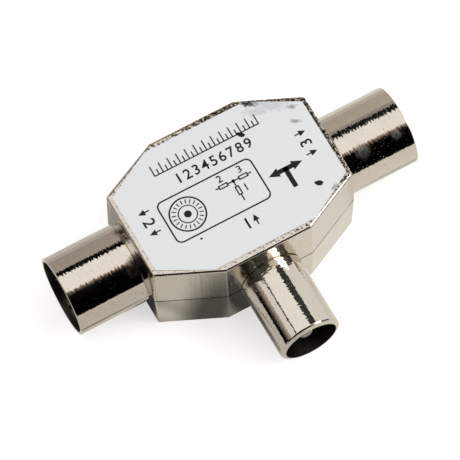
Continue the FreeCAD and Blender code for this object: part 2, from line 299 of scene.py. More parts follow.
softbox = add_lamp("softbox", SOFTBOX_PLACE, SOFTBOX_LENGTH, SOFTBOX_WIDTH, SOFTBOX_RADIANCE)
softbox.rotation_euler.z = SOFTBOX_TURN
key_lamp = add_lamp("key_lamp", KEY_PLACE, KEY_SIZE, KEY_SIZE, KEY_RADIANCE)
key_lamp.rotation_euler = (KEY_AIM - KEY_PLACE).to_track_quat("-Z", "Y").to_euler()
print("softbox", round(softbox.data.energy, 2), "watts, key lamp", round(key_lamp.data.energy, 2), "watts")

# %% [markdown]
# The cards overhead lie just under or over the softbox. A mirrored ray goes on through a lamp, so
# a black back keeps the sky from adding to the softbox. The gaps beside it become the thin dark
# lines along the tubes, the grey ceiling the broad grey bands at the back, and the flap in front the
# wide dark band, with a soft brown edge where it fades.

# %% Cards overhead
BLACK = 0.0
CARD_BROWN = "#F6DCCB"
CARD_TAN = "#FAEBDC"
CARD_WARM = "#FFF6EC"
BACK_HEIGHT = 603
CEILING_HEIGHT = 599
FLAP_HEIGHT = 598

along = Vector((math.cos(SOFTBOX_TURN), math.sin(SOFTBOX_TURN))) * SOFTBOX_LENGTH / 2
across = Vector((-math.sin(SOFTBOX_TURN), math.cos(SOFTBOX_TURN))) * SOFTBOX_WIDTH / 2
middle = SOFTBOX_PLACE.xy
softbox_corners = [middle + a * along + b * across for a, b in ((-1, -1), (1, -1), (-1, 1), (1, 1))]
# Each card: name, corners with the first edge first, shade at that edge and at the far one, colour
OVERHEAD_CARDS = (
    ("softbox_back", level_card(BACK_HEIGHT, *softbox_corners), BLACK, BLACK, WHITE),
    ("gap_behind_softbox", level_card(FLAP_HEIGHT, (-60, 526), (200, 148), (45, 666), (228, 340)),
     BLACK, BLACK, WHITE),
    ("gap_beside_softbox", level_card(FLAP_HEIGHT, (172, 178), (455, -20), (150, 330), (455, 500)),
     0.05, 0.05, WHITE),
    ("grey_ceiling_behind", level_card(CEILING_HEIGHT, (-200, 729), (250, 75), (-200, 1400), (420, 1400)),
     0.40, 0.50, CARD_WARM),
    ("fading_flap_in_front", level_card(FLAP_HEIGHT, (-300, 62), (600, -905), (-300, 110), (600, -660)),
     BLACK, 0.95, CARD_BROWN),
    ("black_flap_in_front", level_card(FLAP_HEIGHT, (-700, -300), (400, -1000), (-300, 62), (600, -905)),
     BLACK, BLACK, WHITE),
)
for card in OVERHEAD_CARDS:
    add_card(*card)
print("cards overhead:", len(OVERHEAD_CARDS))

# %% [markdown]
# Below the softbox stand the cards that the sides of the tubes and the walls mirror. Black ones in
# front and at the left carry the dark bands down to the floor. Three nearly black ones at the two
# front corners darken the root of the plug on both sides of its highlight. A grey board behind, with
# a grey floor at its foot, gives the backs of the sockets their middle tones.

# %% Cards round the splitter
LEFT_WALL, FRONT_WALL, BACK_WALL = -500, -500, 400
CORNER_WALL = 460
LOW_FLAP_HEIGHT = 597
FLOOR_CARD_HEIGHT = 0.4
BOARD_LEFT, BOARD_RIGHT, BOARD_TOP, BOARD_FOOT = -110, 260, 400, 40

# The board fades from left to right, so its first edge is the upright one at its left
board = [(x, BACK_WALL, z) for x in (BOARD_LEFT, BOARD_RIGHT) for z in (0, BOARD_TOP)]
board_foot = [(x, y) for x in (BOARD_LEFT, BOARD_RIGHT) for y in (BOARD_FOOT, BACK_WALL)]
# Each card: name, corners with the first edge first, shade at that edge and at the far one, colour
LOW_CARDS = (
    ("black_card_front", card_across(FRONT_WALL, -700, 800, 0, 650), BLACK, BLACK, WHITE),
    ("black_floor_front",
     level_card(FLOOR_CARD_HEIGHT, (0, FRONT_WALL), (500, FRONT_WALL), (22, -334), (60, -128)),
     BLACK, BLACK, WHITE),
    ("black_strip_left", level_card(FLAP_HEIGHT, (-548, 100), (-468, 100), (-548, 500), (-468, 500)),
     BLACK, BLACK, WHITE),
    ("fading_card_left", card_beside(LEFT_WALL, -100, 600, 30, 265), BLACK, 0.60, CARD_TAN),
    ("black_card_left", card_beside(LEFT_WALL, -100, 600, 0, 30), BLACK, BLACK, WHITE),
    ("black_floor_left",
     level_card(FLOOR_CARD_HEIGHT, (LEFT_WALL, -100), (LEFT_WALL, 600), (-90, -100), (-90, 600)),
     BLACK, BLACK, WHITE),
    ("black_card_left_front", card_beside(-CORNER_WALL, -330, -110, 5, 596), BLACK, 0.13, WHITE),
    ("dim_flap_left_front",
     level_card(LOW_FLAP_HEIGHT, (-CORNER_WALL, -330), (35, -330), (-CORNER_WALL, -165), (35, -165)),
     0.10, 0.10, WHITE),
    ("dark_card_right_front", card_beside(CORNER_WALL, -340, -110, 315, 5), 0.14, 0.05, WHITE),
    ("grey_board_back", board, 0.36, 0.68, CARD_WARM),
    ("grey_floor_behind", level_card(FLOOR_CARD_HEIGHT, *board_foot), 0.50, 0.90, WHITE),
)
for card in LOW_CARDS:
    add_card(*card)
print("cards round the splitter:", len(LOW_CARDS))

# %% [markdown]
# The walls and the undersides of the tubes mirror the ground a few millimetres away. On a real table
# it is dim near the splitter and nearly black in the corner beside the plug sleeve. A sheet that
# only reflections see lies just above the floor and is shaded in the same way: dim at the left,
# light at the right, with soft oval shadows where the splitter keeps the light off.

# %% Sheet with the splitter's own shadows
SHEET_HEIGHT = 0.25
SHEET_LEFT, SHEET_RIGHT, SHEET_FRONT, SHEET_BACK = -600, 700, -600, 40
SHEET_WARM = "#FFFCF5"
LEFT_SHADE, RIGHT_SHADE = 0.70, 0.92
LEFT_SHADE_END, RIGHT_SHADE_START = -3, 9
# Each shadow: middle, half length and width, share of light left at its core, and the core's size
GROUND_SHADOWS = (
    ((-9.7, -11.7), (6.5, 14.0), 0.14, 0.17),
    ((-15.5, -2.8), (5.7, 6.0), 0.05, 0.37),
    ((-3.8, -14.7), (3.6, 8.1), 0.10, 0.37),
    ((-21.5, 9.5), (7.0, 8.0), 0.45, 0.25),
    ((-23.5, -10.1), (14.0, 1.8), 0.48, 0.25),
    ((26.0, -7.8), (10.0, 3.0), 0.72, 0.25),
)


def ground_shade(tree, shade, far_shade):
    """Shade that goes from left to right and falls inside each oval to a share of itself."""
    place = add_node(tree, "TexCoord").outputs["Object"]
    across = add_node(tree, "SeparateXYZ", Vector=place)
    shaded = add_node(tree, "MapRange", SMOOTH, Value=across.outputs["X"],
                      From_Min=LEFT_SHADE_END * MM, From_Max=RIGHT_SHADE_START * MM,
                      To_Min=shade, To_Max=far_shade)
    for (x, y), (length, width), share, core in GROUND_SHADOWS:
        local = add_node(tree, "Mapping", TO_LOCAL, Vector=place,
                         Location=(x * MM, y * MM, 0), Scale=(length * MM, width * MM, 1))
        away = add_node(tree, "VectorMath", LENGTH, _0=local).outputs["Value"]
        left_over = add_node(tree, "MapRange", SMOOTH, Value=away, From_Min=core, To_Min=share)
        shaded = add_node(tree, "Math", MULTIPLY, _0=shaded, _1=left_over)
    return shaded


sheet = [(x, y) for y in (SHEET_FRONT, SHEET_BACK) for x in (SHEET_LEFT, SHEET_RIGHT)]
add_card("sheet_with_shadows", level_card(SHEET_HEIGHT, *sheet),
         LEFT_SHADE, RIGHT_SHADE, SHEET_WARM, ground_shade)
print("sheet ready with", len(GROUND_SHADOWS), "shadows")

# %% [markdown]
# The bright parts are nickel plate: a hard, faintly warm silver. The eye knows it from the way dark
# and light bands run along a tube, and from what breaks them up. Turned tubes have fine rings left
# by the lathe, which fray the edges of the bands. The cast body has soft ripples under its plating,
# and after years in a drawer the plating has pits, brown stains and dull patches. All of these start
# from noise, so one helper gives noise whose size is stated in millimetres, and another a stain.
# Shade is painted into the plating as well: inside the bores, and as stains at the left socket's root.

# %% Helpers for worn surfaces
NOISE_ROUGHNESS = 0.55
STAIN_EDGE, STAIN_CORE = 0.55, 1.45


def noise(tree, place, spacing, detail=3.0):
    """Noise between 0 and 1 whose blobs are spacing mm wide along X, Y and Z."""
    scaled = add_node(tree, "Mapping", Vector=place, Scale=[1 / (s * MM) for s in spacing])
    return add_node(tree, "TexNoise", Vector=scaled, Scale=1.0,
                    Detail=detail, Roughness=NOISE_ROUGHNESS)


def stain(tree, place, fleck, centre, radius):
    """A ragged, soft-edged spot round a centre, both in mm."""
    away = add_node(tree, "VectorMath", DISTANCE, _0=place, _1=Vector(centre) * MM).outputs["Value"]
    near = add_node(tree, "MapRange", Value=away, From_Min=radius * MM, From_Max=0.0)
    ragged = add_node(tree, "Math", ADD, _0=near, _1=fleck)
    return add_node(tree, "MapRange", SMOOTH, Value=ragged,
                    From_Min=STAIN_EDGE, From_Max=STAIN_CORE)


print("helpers for wear ready")

# %% [markdown]
# One function builds every nickel finish, with the size of each flaw in millimetres. Its ripples are
# noise stretched along the marks: round a turned tube, or up the walls of the casting. The marks
# that a lathe leaves are finer than a picture of this size can show, so they are drawn a third of a
# millimetre apart. Flecks of noise above one level are pits, and just below it dull dust.

# %% Nickel plate
NICKEL = "#D5CDC1"
NICKEL_DEEP = "#CAC2B5"
# Near-black for pits, grime and wear, and for the painted shade inside the bores
TARNISH_AND_SHADE = "#221A14"
BROWN_STAIN = "#3A2217"
BLOOM = "#50524B"
MARK_DETAIL = 0.4
CLOUD_SIZE, CLOUD_DETAIL = 2.5, 4.0
CLOUD_LOW, CLOUD_HIGH = 0.3, 0.7
FLECK_SIZE, FLECK_DETAIL = 0.22, 2.0
PIT_DEPTH = 0.02
PIT_STEP = 0.04
DUST_EDGE, DUST_CORE = 0.07, 0.03
POLISH_DRIFT = 0.05
DIRT_DULLS = 0.35


def nickel_plate(name, grain, grain_height, polish, pits, stains=(), extra_dirt_and_shade=None,
                 stain_colour=BROWN_STAIN):
    """Nickel plate. grain is the ripple spacing along X, Y and Z and grain_height its height, in mm.

    polish is the roughness of clean plating, and pits the noise level at which pits begin. stains are
    pairs of a centre and a radius in mm. extra_dirt_and_shade adds a mask from a tree and a place that
    darkens the plating: edge grime and rubbed wear, and in a bore painted shade.
    """
    material, tree = new_material(name)
    place = add_node(tree, "TexCoord").outputs["Object"]
    marks = noise(tree, place, grain, MARK_DETAIL)
    cloud = noise(tree, place, [CLOUD_SIZE] * 3, CLOUD_DETAIL)
    fleck = noise(tree, place, [FLECK_SIZE] * 3, FLECK_DETAIL)
    dust = add_node(tree, "MapRange", SMOOTH, Value=fleck,
                    From_Min=pits - DUST_EDGE, From_Max=pits - DUST_CORE)
    pit = add_node(tree, "MapRange", SMOOTH, Value=fleck, From_Min=pits, From_Max=pits + PIT_STEP)
    pits_dirt_and_shade = pit
    # The added mask is dirt on the casting and the contacts, and painted shade inside the sleeves
    if extra_dirt_and_shade:
        pits_dirt_and_shade = add_node(tree, "Math", MAXIMUM, _0=pits_dirt_and_shade, _1=extra_dirt_and_shade(tree, place))
    colour = add_node(tree, "Mix", COLOURS, _0=cloud,
                      _6=linear(NICKEL), _7=linear(NICKEL_DEEP)).outputs[MIXED]
    dull = pits_dirt_and_shade
    for centre, radius in stains:
        spot = stain(tree, place, fleck, centre, radius)
        dull = add_node(tree, "Math", MAXIMUM, _0=dull, _1=spot)
        colour = add_node(tree, "Mix", COLOURS, _0=spot,
                          _6=colour, _7=linear(stain_colour)).outputs[MIXED]
    colour = add_node(tree, "Mix", COLOURS, _0=pits_dirt_and_shade, _6=colour, _7=linear(TARNISH_AND_SHADE)).outputs[MIXED]
    dull = add_node(tree, "Math", MAXIMUM, _0=dull, _1=dust)
    gloss = add_node(tree, "MapRange", Value=cloud, From_Min=CLOUD_LOW, From_Max=CLOUD_HIGH,
                     To_Min=polish, To_Max=polish + POLISH_DRIFT)
    roughness = add_node(tree, "Math", MULTIPLY_ADD, _0=dull, _1=DIRT_DULLS, _2=gloss)
    ripple = add_node(tree, "Math", MULTIPLY, _0=marks, _1=grain_height)
    hollow = add_node(tree, "Math", MULTIPLY, _0=pit, _1=PIT_DEPTH)
    height = add_node(tree, "Math", SUBTRACT, _0=ripple, _1=hollow)
    relief = add_node(tree, "Bump", Strength=1.0, Distance=MM, Height=height)
    metal = add_node(tree, "BsdfPrincipled", Base_Color=colour, Metallic=1.0,
                     Roughness=roughness, Normal=relief)
    add_node(tree, "OutputMaterial", Surface=metal)
    return material


print("nickel flecks", FLECK_SIZE, "mm, clouds", CLOUD_SIZE, "mm")

# %% [markdown]
# Dirt gathers where the shape lets it. Grime sits along the top edge of the casting, where fingers
# and the label's glue leave it. The inside of a sleeve gets painted shade, because little light reaches
# into a bore: its plating is painted nearly black and made duller. A contact is rubbed by every plug
# that was pushed onto it. Each function below gives its dirt or its painted shade as a value between
# 0 and 1 at a place on the object, so it stays put from any side.

# %% Where dirt gathers and where shade is painted
GRIME_EDGE, GRIME_CORE = 0.75, 0.45
GRIME_SIZE, GRIME_DETAIL = 0.3, 4.0
GRIME_BACKWARD = 0.9
GRIME_LIGHT_END, GRIME_HEAVY_START = 2, 14
GRIME_HEAVY = 0.17
GRIME_SPREAD = (0.62, 0.70)
BORE_MARGIN, BORE_FULL = 0.12, 0.05
RUBBED_SIZE = 0.45
RUBBED_SPREAD = (0.40, 0.58)
RUBBED_SHARE = 0.55


def edge_grime(tree, place):
    """Dark grime along the top edge of the casting, heaviest on the right and at the back."""
    axes = add_node(tree, "SeparateXYZ", Vector=place).outputs
    above = add_node(tree, "MapRange", SMOOTH, Value=axes["Z"],
                     From_Min=(LABEL_TOP - GRIME_EDGE) * MM, From_Max=(LABEL_TOP - GRIME_CORE) * MM)
    backward = add_node(tree, "Math", MULTIPLY, _0=axes["Y"], _1=GRIME_BACKWARD)
    toward = add_node(tree, "Math", ADD, _0=axes["X"], _1=backward)
    heavy = add_node(tree, "MapRange", SMOOTH, Value=toward, From_Min=GRIME_LIGHT_END * MM,
                     From_Max=GRIME_HEAVY_START * MM, To_Min=0.0, To_Max=GRIME_HEAVY)
    grit = noise(tree, place, [GRIME_SIZE] * 3, GRIME_DETAIL)
    amount = add_node(tree, "Math", ADD, _0=grit, _1=heavy)
    patches = add_node(tree, "MapRange", SMOOTH, Value=amount,
                       From_Min=GRIME_SPREAD[0], From_Max=GRIME_SPREAD[1])
    return add_node(tree, "Math", MULTIPLY, _0=patches, _1=above)


def dull_bore(across, bore_radius, share):
    """Painted shade for the inside of a sleeve. across is 1 for each axis that crosses the sleeve's own."""

    def inside(tree, place):
        """A share of painted shade nearer to the axis than the bore's radius."""
        flat = add_node(tree, "VectorMath", MULTIPLY_ADD, _0=place, _1=across,
                        _2=(0, 0, -AXIS_HEIGHT * MM))
        radius = add_node(tree, "VectorMath", LENGTH, _0=flat).outputs["Value"]
        within = add_node(tree, "MapRange", SMOOTH, Value=radius,
                          From_Min=(bore_radius + BORE_MARGIN) * MM, From_Max=(bore_radius + BORE_FULL) * MM)
        return add_node(tree, "Math", MULTIPLY, _0=within, _1=share)

    return inside


def rubbed(tree, place):
    """Dull patches where a contact's plating is worn."""
    patches = add_node(tree, "MapRange", SMOOTH, Value=noise(tree, place, [RUBBED_SIZE] * 3),
                       From_Min=RUBBED_SPREAD[0], From_Max=RUBBED_SPREAD[1])
    return add_node(tree, "Math", MULTIPLY, _0=patches, _1=RUBBED_SHARE)


print("grime reaches", GRIME_EDGE, "mm below the label")

# %% [markdown]
# Each nickel finish now takes its own ripple, polish and pits. The stains sit in the corners at the
# roots of the tubes and show best where they break a dark or a bright band. On the plug and at the
# front of the left socket's root they are brown rust where damp stayed, on the right socket dull grey
# patches, and at the top of the left socket's root painted shade where the tube meets the body.

# %% Nickel finishes
# Painted shade inside the sleeves: their plating there is painted nearly black and duller
out_bore_painted_shade = dull_bore((0, 1, 1), bore_radius=5.55, share=0.90)
in_bore_painted_shade = dull_bore((1, 0, 1), bore_radius=4.0, share=0.88)
# Each stain: its centre and its radius
LEFT_RUST_AND_ROOT_SHADE = (
    ((-16.7, -2.7, 13.9), 1.8),
    ((-17.6, -3.5, 13.4), 1.4),
    # These two are painted shade, where the top of the root meets the body
    ((-16.2, 2.8, 13.8), 1.7),
    ((-16.1, 1.2, 14.3), 1.4),
)
PLUG_STAINS = (((-3.9, -12.4, 11.3), 1.2),)
RIGHT_BLOOM = (((19.9, -3.5, 13.5), 1.7), ((25.4, -3.5, 13.4), 1.2))

# Polished and plated zinc casting: ripples run up its walls, so they mirror in soft upright streaks
cast_nickel = nickel_plate(
    "polished_nickel_on_zinc_casting", grain=(0.55, 0.55, 9.0), grain_height=0.032,
    polish=0.10, pits=0.72, extra_dirt_and_shade=edge_grime)
# Plated brass, turned about X: rings fray the edges of its bands; rust and painted shade sit at its root
turned_left = nickel_plate(
    "polished_nickel_turned_about_x_left", grain=(0.32, 0.8, 0.8), grain_height=0.014,
    polish=0.045, pits=0.78, stains=LEFT_RUST_AND_ROOT_SHADE, extra_dirt_and_shade=out_bore_painted_shade)
# The same with more pits, and with dull grey patches that lighten its dark band
turned_right = nickel_plate(
    "polished_nickel_turned_about_x_right", grain=(0.33, 0.8, 0.8), grain_height=0.015,
    polish=0.045, pits=0.73, stains=RIGHT_BLOOM, extra_dirt_and_shade=out_bore_painted_shade, stain_colour=BLOOM)
# Plated brass, turned about Y: the same rings round the plug's sleeve, a little deeper
turned_along_y = nickel_plate(
    "polished_nickel_turned_about_y", grain=(0.8, 0.33, 0.8), grain_height=0.021,
    polish=0.045, pits=0.72, stains=PLUG_STAINS, extra_dirt_and_shade=in_bore_painted_shade)
# Contacts, worn by plugs: far duller, so that they show in a dark bore as a soft grey
contact_nickel = nickel_plate(
    "worn_nickel_on_turned_contacts", grain=(0.35, 0.35, 0.35), grain_height=0.03,
    polish=0.24, pits=0.70, extra_dirt_and_shade=rubbed)
print("nickel finishes ready")

# %% [markdown]
# The rest is plainer. The label is coated white paper with a soft sheen, its print is dense black
# ink, the insulators are natural moulded resin, the spring rings are tinned bronze, and inside sit
# lacquered ceramic resistors, tinned copper wire and grey solder. Each one varies a little in tone,
# because nothing handled stays one flat colour.

# %% Plainer finishes
MOTTLE_DETAIL, MOTTLE_ROUGHNESS = 5.0, 0.6


def mottled(name, light, dark, patch, roughness, metallic=0.0, dent=0.0, shine=0.5):
    """A finish that drifts between two tones in patches of a size in mm, with an uneven surface."""
    material, tree = new_material(name)
    place = add_node(tree, "TexCoord").outputs["Object"]
    cloud = add_node(tree, "TexNoise", Vector=place, Scale=1 / (patch * MM),
                     Detail=MOTTLE_DETAIL, Roughness=MOTTLE_ROUGHNESS)
    tone = add_node(tree, "Mix", COLOURS, _0=cloud, _6=linear(light), _7=linear(dark))
    relief = add_node(tree, "Bump", Strength=1.0, Distance=dent * MM, Height=cloud)
    surface = add_node(tree, "BsdfPrincipled", Base_Color=tone.outputs[MIXED], Metallic=metallic,
                       Roughness=roughness, Specular_IOR_Level=shine, Normal=relief)
    add_node(tree, "OutputMaterial", Surface=surface)
    return material


# Screen-printed ink dries matt, so it stays black also where the paper round it shines
printing_ink = mottled("black_printing_ink", "#161517", "#232224", patch=0.6, roughness=0.6, shine=0.2)
# Undyed resin from a mould is creamy, and its skin has a soft gloss
moulded_resin = mottled("natural_moulded_resin", "#E6E2D8", "#DAD5C8",
                        patch=1.5, roughness=0.45, dent=0.004)
# Tin on bronze strip: tarnish and painted shade make it a dark olive grey, which hides the springs in their
# bore
tinned_bronze_in_painted_shade = mottled("tinned_spring_bronze_painted_dark", "#5A5548", "#35322B",
                        patch=0.8, roughness=0.35, metallic=1.0, dent=0.02)
# Lacquer over ceramic is a sandy brown with a gentle gloss
lacquered_ceramic = mottled("lacquered_ceramic_resistor", "#B49A6C", "#9C8356",
                            patch=0.9, roughness=0.35, dent=0.005)
# Tinned wire is a plain pale metal, drawn smooth
tinned_copper = mottled("tinned_copper_wire", "#C4C3C0", "#A9A7A2",
                        patch=0.5, roughness=0.3, metallic=1.0)
# Solder froze in the air, so it is greyer than the wire and finely wrinkled
grey_solder = mottled("lead_tin_solder", "#B9B9B8", "#8F8F8F",
                      patch=0.5, roughness=0.35, metallic=1.0, dent=0.02)
print("plain finishes ready")

# %% [markdown]
# The label is the one large matt surface. It is coated paper, so it is even and faintly blue-grey,
# but it has been rubbed: there are grey smudges near its right end and a black scuff where the paper
# is worn through along one slanting edge. Each mark is a soft oval in the label's own coordinates,
# broken up by noise, so that it stays put from any side.

# %% Label paper
PAPER = "#E9E9E9"
PAPER_COOL = "#E2E3E5"
FIBRE_SIZE, FIBRE_DETAIL, FIBRE_ROUGHNESS = 0.5, 4.0, 0.6
FIBRE_HEIGHT = 0.002
PAPER_ROUGHNESS = 0.42
# How far the noise moves the edge of a mark, and where that edge starts and ends without noise
RAGGED = 2.4
MARK_EDGE, MARK_CORE = 1.25, 0.35
# Each mark: middle, half length and width, turn in degrees and colour
SMUDGES = (
    ((8.6, 9.9), (2.0, 0.60), -33, "#1D1C1C"),
    ((11.4, 8.3), (2.6, 1.2), -33, "#CFD0D2"),
    ((9.0, 8.2), (2.2, 0.7), -20, "#D0D1D3"),
    ((13.7, 6.4), (0.8, 0.4), -25, "#A3A5A8"),
    ((13.1, 4.1), (0.9, 0.35), -25, "#A3A5A8"),
    ((12.7, -7.6), (0.7, 0.3), 30, "#A6A8AC"),
)

label_paper, tree = new_material("coated_white_label_paper")
place = add_node(tree, "TexCoord").outputs["Object"]
fibre = add_node(tree, "TexNoise", Vector=place, Scale=1 / (FIBRE_SIZE * MM),
                 Detail=FIBRE_DETAIL, Roughness=FIBRE_ROUGHNESS)
colour = add_node(tree, "Mix", COLOURS, _0=fibre,
                  _6=linear(PAPER), _7=linear(PAPER_COOL)).outputs[MIXED]
for (x, y), (length, width), turn, shade in SMUDGES:
    local = add_node(tree, "Mapping", TO_LOCAL, Vector=place,
                     Location=(x * MM, y * MM, LABEL_TOP * MM), Rotation=(0, 0, math.radians(turn)),
                     Scale=(length * MM, width * MM, MM))
    reach = add_node(tree, "VectorMath", LENGTH, _0=local).outputs["Value"]
    broken = add_node(tree, "Math", MULTIPLY_ADD, _0=fibre, _1=RAGGED, _2=reach)
    mask = add_node(tree, "MapRange", SMOOTH, Value=broken,
                    From_Min=MARK_EDGE + RAGGED / 2, From_Max=MARK_CORE + RAGGED / 2)
    colour = add_node(tree, "Mix", COLOURS, _0=mask, _6=colour, _7=linear(shade)).outputs[MIXED]
relief = add_node(tree, "Bump", Strength=1.0, Distance=FIBRE_HEIGHT * MM, Height=fibre)
surface = add_node(tree, "BsdfPrincipled", Base_Color=colour,
                   Roughness=PAPER_ROUGHNESS, Normal=relief)
add_node(tree, "OutputMaterial", Surface=surface)
print("label paper ready with", len(SMUDGES), "marks")

# %% [markdown]
# The sleeves and the centre pin were turned on a lathe, so each is a ring that is extruded along its
# axis, step by step, and drawn in or out at each step. A screw modifier would also do, but extruding
# follows the way the part is read on a drawing: collar, neck, shoulder, tube, rim. A fine bevel then
# rounds each edge, because a sharp edge catches no light.

# %% A turned piece from rings
RING_STEPS = 128
BEVEL_SEGMENTS = 3
SHARPEST_UNBEVELLED = math.radians(20)


def turned_piece(name, profile, turn, edge_round, closed_tube):
    """Extrude a ring through (distance, radius) points along X, in mm, then turn it to face its way."""
    bpy.ops.object.select_all(action="DESELECT")
    start, radius = profile[0]
    bpy.ops.mesh.primitive_circle_add(vertices=RING_STEPS, radius=radius * MM, rotation=(0, math.pi / 2, 0))
    piece = bpy.context.active_object
    piece.name = name
    piece.location = (start * MM, 0, 0)
    bpy.ops.object.transform_apply()
    bpy.ops.object.mode_set(mode="EDIT")
    bpy.ops.mesh.select_mode(type="VERT")
    bpy.ops.mesh.select_all(action="SELECT")
    if not closed_tube:
        bpy.ops.mesh.edge_face_add()
    for along, next_radius in profile[1:]:
        bpy.ops.mesh.extrude_region_move(TRANSFORM_OT_translate={"value": ((along - start) * MM, 0, 0)})
        grow = next_radius / radius
        bpy.ops.transform.resize(value=(1, grow, grow), center_override=(along * MM, 0, 0))
        start, radius = along, next_radius
    if closed_tube:
        bpy.ops.mesh.select_all(action="DESELECT")
        bpy.ops.mesh.select_non_manifold()
        bpy.ops.mesh.bridge_edge_loops()
    bpy.ops.mesh.select_all(action="SELECT")
    bpy.ops.mesh.normals_make_consistent(inside=False)
    bpy.ops.object.mode_set(mode="OBJECT")
    piece.rotation_euler.z = turn
    piece.location.z = AXIS_HEIGHT * MM
    bpy.ops.object.transform_apply()
    bpy.ops.object.shade_smooth()
    bevel = piece.modifiers.new("edges", "BEVEL")
    bevel.width = edge_round * MM
    bevel.segments = BEVEL_SEGMENTS
    bevel.limit_method = "ANGLE"
    bevel.angle_limit = SHARPEST_UNBEVELLED
    bevel.harden_normals = True
    bpy.ops.object.modifier_apply(modifier=bevel.name)
    return piece


print("ring steps:", RING_STEPS)

# %% [markdown]
# A socket sleeve is a thin tube, half a millimetre thick, that swallows the plug's own sleeve. Its
# inner end is a collar held inside the body, then comes a neck in the wall, then the full tube. The
# rim is only as wide as the wall, so it shows as one bright line.

# %% Socket sleeves
OUT_WALL = 0.5
OUT_NECK_RADIUS = OUT_RADIUS - 0.35
OUT_INNER_BORE = OUT_NECK_RADIUS - 1.1
OUT_COLLAR_LENGTH = 1.0
OUT_SHOULDER = 16.7
OUT_STEP = 17.6
OUT_EDGE_ROUND = 0.12

out_profile = [
    (OUT_START, OUT_INNER_BORE),
    (OUT_START, OUT_RADIUS),
    (OUT_START + OUT_COLLAR_LENGTH, OUT_RADIUS),
    (OUT_START + OUT_COLLAR_LENGTH, OUT_NECK_RADIUS),
    (OUT_SHOULDER, OUT_NECK_RADIUS),
    (OUT_SHOULDER, OUT_RADIUS),
    (OUT_MOUTH, OUT_RADIUS),
    (OUT_MOUTH, OUT_RADIUS - OUT_WALL),
    (OUT_STEP, OUT_RADIUS - OUT_WALL),
    (OUT_STEP, OUT_INNER_BORE),
]
for side, turn, finish in (("left_out", math.pi, turned_left), ("right_out", 0.0, turned_right)):
    sleeve = turned_piece(side + "_sleeve_turned", out_profile, turn, OUT_EDGE_ROUND, True)
    sleeve.data.materials.append(finish)
    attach(sleeve, "root")
    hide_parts(side + "_sleeve")
    print(sleeve.name, "faces", len(sleeve.data.polygons))

# %% [markdown]
# The plug sleeve is narrower and thicker, and its rim is bevelled almost to a lip so that it finds
# its way into a socket. The bevel has two slopes: the lip faces forward and mirrors the floor, while
# the narrow slope behind it mirrors the dark side of the studio. That is the thin dark line round the
# mouth.

# %% Plug sleeve
PLUG_RADIUS = 4.7625
IN_BORE = PLUG_RADIUS - 0.76
IN_NECK_RADIUS = PLUG_RADIUS - 0.3
IN_COLLAR_LENGTH = 0.9
IN_SHOULDER = 11.7
IN_BEVEL_LENGTH = 0.45
IN_BEVEL_DEPTH = 0.58
IN_LIP_LENGTH = 0.25
IN_LIP_DEPTH = 0.48
IN_EDGE_ROUND = 0.03

in_profile = [
    (IN_START, IN_BORE),
    (IN_START, IN_COLLAR_RADIUS),
    (IN_START + IN_COLLAR_LENGTH, IN_COLLAR_RADIUS),
    (IN_START + IN_COLLAR_LENGTH, IN_NECK_RADIUS),
    (IN_SHOULDER, IN_NECK_RADIUS),
    (IN_SHOULDER, PLUG_RADIUS),
    (IN_MOUTH - IN_BEVEL_LENGTH, PLUG_RADIUS),
    (IN_MOUTH - IN_LIP_LENGTH, PLUG_RADIUS - IN_BEVEL_DEPTH + IN_LIP_DEPTH),
    (IN_MOUTH, PLUG_RADIUS - IN_BEVEL_DEPTH),
    (IN_MOUTH, IN_BORE),
]
plug_sleeve = turned_piece("in_sleeve_turned", in_profile, -math.pi / 2, IN_EDGE_ROUND, True)
plug_sleeve.data.materials.append(turned_along_y)
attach(plug_sleeve, "root")
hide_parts("in_sleeve")
print(plug_sleeve.name, "faces", len(plug_sleeve.data.polygons))

# %% [markdown]
# The centre pin is a solid turned rod on a stem through its insulator. Only its nose shows, just
# inside the rim, so the nose gets the care: it is drawn in over four short steps and ends in a small
# flat face, as a rod parted off on a lathe does.

# %% Centre pin
PIN_RADIUS = 1.2
PIN_STEM_RADIUS = 0.9
PIN_TAIL_RADIUS = 0.5
PIN_SHOULDER_RADIUS = 1.7
PIN_SHOULDER_LENGTH = 0.8
IN_INSULATOR_FRONT = 13.0
# Each step of the nose: how far back from the tip, and the radius there
PIN_NOSE = ((0.75, PIN_RADIUS), (0.50, 1.14), (0.26, 0.99), (0.09, 0.74), (0.0, 0.42))
PIN_EDGE_ROUND = 0.04

pin_profile = [
    (PIN_START, PIN_TAIL_RADIUS),
    (IN_START, PIN_TAIL_RADIUS),
    (IN_START, PIN_STEM_RADIUS),
    (IN_INSULATOR_FRONT, PIN_STEM_RADIUS),
    (IN_INSULATOR_FRONT, PIN_SHOULDER_RADIUS),
    (IN_INSULATOR_FRONT + PIN_SHOULDER_LENGTH, PIN_SHOULDER_RADIUS),
    (IN_INSULATOR_FRONT + PIN_SHOULDER_LENGTH, PIN_RADIUS),
] + [(PIN_END - back, radius) for back, radius in PIN_NOSE]
centre_pin = turned_piece("in_pin_turned", pin_profile, -math.pi / 2, PIN_EDGE_ROUND, False)
centre_pin.data.materials.append(contact_nickel)
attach(centre_pin, "root")
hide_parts("in_pin")
print(centre_pin.name, "faces", len(centre_pin.data.polygons))

# %% [markdown]
# The print is a thin layer of black ink. It could be painted into the label's shader, but real
# shapes stay crisp from any distance and can be read in the code. Every shape starts as a plane, a
# circle or a line of text, is shaped in edit mode, and is moved to its place on the label.

# %% Helpers for printing
INK_HEIGHT = 0.012
DIGIT_WEIGHT = 0.012
CORNER_SEGMENTS = 8
RING_POINTS = 48
HEAD_LENGTH = 0.85
HEAD_NARROWED = 0.8
print_shapes = []


def print_shape(x, y, turn=0.0):
    """Move the active flat shape to its place on the label and keep it for the print."""
    shape = bpy.context.active_object
    shape.location = Vector((x, y, LABEL_TOP + INK_HEIGHT)) * MM
    shape.rotation_euler.z = turn
    bpy.ops.object.transform_apply()
    print_shapes.append(shape)


